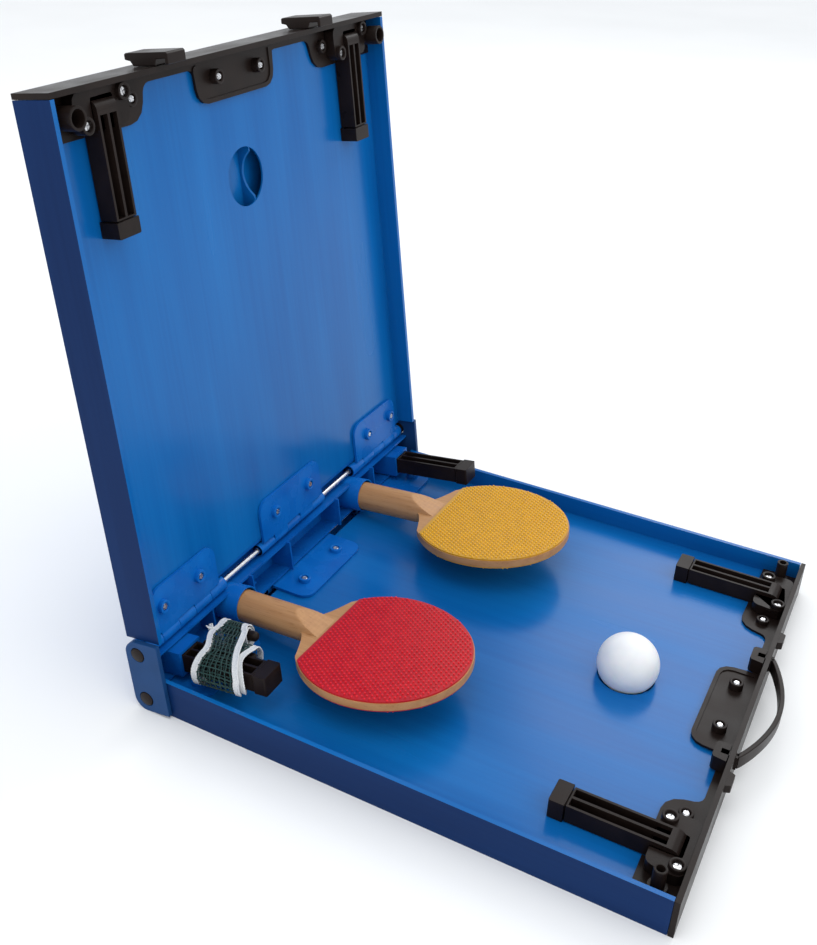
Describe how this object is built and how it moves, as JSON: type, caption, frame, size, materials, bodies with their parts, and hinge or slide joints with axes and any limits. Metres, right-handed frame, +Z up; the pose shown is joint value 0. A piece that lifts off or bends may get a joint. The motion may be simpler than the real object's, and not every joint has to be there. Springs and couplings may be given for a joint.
{
  "type": "folding ping pong table",
  "caption": "Case-size table tennis set: two playing halves fold about a spine and hold the paddles, ball, net and fold-out legs.",
  "frame": {"origin": "middle of the lower half's playing surface, which faces down and rests on the ground", "axes": "+X from the hinge spine to the free end with the handle, +Y across the case, +Z up"},
  "size_m": [0.407, 0.3478, 0.3829],
  "materials": {
    "blue_plastic": "glossy moulded and extruded plastic",
    "navy_plastic": "satin plastic",
    "black_plastic": "satin plastic",
    "steel": "bright plated steel",
    "wood": "sanded pale wood",
    "red_rubber": "pimpled rubber",
    "yellow_rubber": "pimpled rubber",
    "ball_plastic": "matte celluloid",
    "net": "knotted mesh with white tapes"
  },
  "bodies": {
    "lower_half": {"lower_tray": "blue_plastic", "lower_end_cap": "black_plastic", "lower_hinge_tab_near": "blue_plastic", "lower_hinge_tab_centre": "blue_plastic", "lower_hinge_tab_far": "blue_plastic", "lower_leg_bracket_a": "black_plastic", "lower_leg_bracket_b": "black_plastic", "lower_screw_a1": "steel", "lower_screw_a2": "steel", "lower_screw_b1": "steel", "lower_screw_b2": "steel", "handle_strap": "black_plastic"},
    "spine": {"spine_shell": "blue_plastic", "spine_end_plate_near": "navy_plastic", "spine_end_plate_far": "navy_plastic", "hinge_rod_low": "steel", "hinge_rod_top": "steel", "plug_near_low": "black_plastic", "plug_near_top": "black_plastic", "plug_far_low": "black_plastic", "plug_far_top": "black_plastic", "spine_leg_near": "black_plastic", "spine_leg_far": "black_plastic", "spine_leg_foot_near": "black_plastic", "spine_leg_foot_far": "black_plastic"},
    "upper_half": {"upper_tray": "blue_plastic", "upper_end_cap": "black_plastic", "upper_hinge_tab_near": "blue_plastic", "upper_hinge_tab_centre": "blue_plastic", "upper_hinge_tab_far": "blue_plastic", "upper_leg_bracket_a": "black_plastic", "upper_leg_bracket_b": "black_plastic", "upper_screw_a1": "steel", "upper_screw_a2": "steel", "upper_screw_b1": "steel", "upper_screw_b2": "steel"},
    "fold_leg_lower_a": {"lower_leg_a": "black_plastic", "lower_leg_foot_a": "black_plastic"},
    "fold_leg_lower_b": {"lower_leg_b": "black_plastic", "lower_leg_foot_b": "black_plastic"},
    "fold_leg_upper_a": {"upper_leg_a": "black_plastic", "upper_leg_foot_a": "black_plastic"},
    "fold_leg_upper_b": {"upper_leg_b": "black_plastic", "upper_leg_foot_b": "black_plastic"},
    "snap_latch_near": {"latch_near": "black_plastic"},
    "snap_latch_far": {"latch_far": "black_plastic"},
    "red_paddle": {"red_paddle_wood": "wood", "red_rubber_top": "red_rubber", "red_rubber_bottom": "red_rubber"},
    "yellow_paddle": {"yellow_paddle_wood": "wood", "yellow_rubber_top": "yellow_rubber", "yellow_rubber_bottom": "yellow_rubber"},
    "net_set": {"net_roll": "net", "net_post_a": "black_plastic", "net_post_b": "black_plastic"},
    "loose_ball": {"ball": "ball_plastic"}
  },
  "joints": [
    {"name": "spine_hinge", "type": "hinge", "parent": "lower_half", "child": "spine", "pos_m": [-0.1708, 0, 0.0092], "axis": [0, -1, 0], "range_deg": [-7.6, 82.4]},
    {"name": "upper_hinge", "type": "hinge", "parent": "spine", "child": "upper_half", "pos_m": [-0.17516, 0, 0.04191], "axis": [0, -1, 0], "range_deg": [-90, 0]},
    {"name": "lower_leg_a_fold", "type": "hinge", "parent": "lower_half", "child": "fold_leg_lower_a", "pos_m": [0.148, -0.129, 0.018], "axis": [0, 1, 0], "range_deg": [0, 90]},
    {"name": "lower_leg_b_fold", "type": "hinge", "parent": "lower_half", "child": "fold_leg_lower_b", "pos_m": [0.148, 0.129, 0.018], "axis": [0, 1, 0], "range_deg": [0, 90]},
    {"name": "upper_leg_a_fold", "type": "hinge", "parent": "upper_half", "child": "fold_leg_upper_a", "pos_m": [-0.20861, 0.129, 0.35907], "axis": [0, -1, 0], "range_deg": [0, 90]},
    {"name": "upper_leg_b_fold", "type": "hinge", "parent": "upper_half", "child": "fold_leg_upper_b", "pos_m": [-0.20861, -0.129, 0.35907], "axis": [0, -1, 0], "range_deg": [0, 90]},
    {"name": "latch_near_snap", "type": "hinge", "parent": "upper_half", "child": "snap_latch_near", "pos_m": [-0.22344, -0.079, 0.37576], "axis": [0, -1, 0], "range_deg": [0, 35]},
    {"name": "latch_far_snap", "type": "hinge", "parent": "upper_half", "child": "snap_latch_far", "pos_m": [-0.22344, 0.079, 0.37576], "axis": [0, -1, 0], "range_deg": [0, 35]},
    {"name": "red_paddle_out", "type": "slide", "parent": "spine", "child": "red_paddle", "axis": [0.9945, -0.0453, 0.094], "range_m": [0, 0.11]},
    {"name": "yellow_paddle_out", "type": "slide", "parent": "spine", "child": "yellow_paddle", "axis": [0.9955, -0.014, 0.0941], "range_m": [0, 0.11]},
    {"name": "net_off", "type": "slide", "parent": "spine", "child": "net_set", "axis": [0.9912, 0, 0.1323], "range_m": [0, 0.008]},
    {"name": "ball_lift", "type": "slide", "parent": "lower_half", "child": "loose_ball", "axis": [0, 0, 1], "range_m": [0, 0.06]}
  ]
}
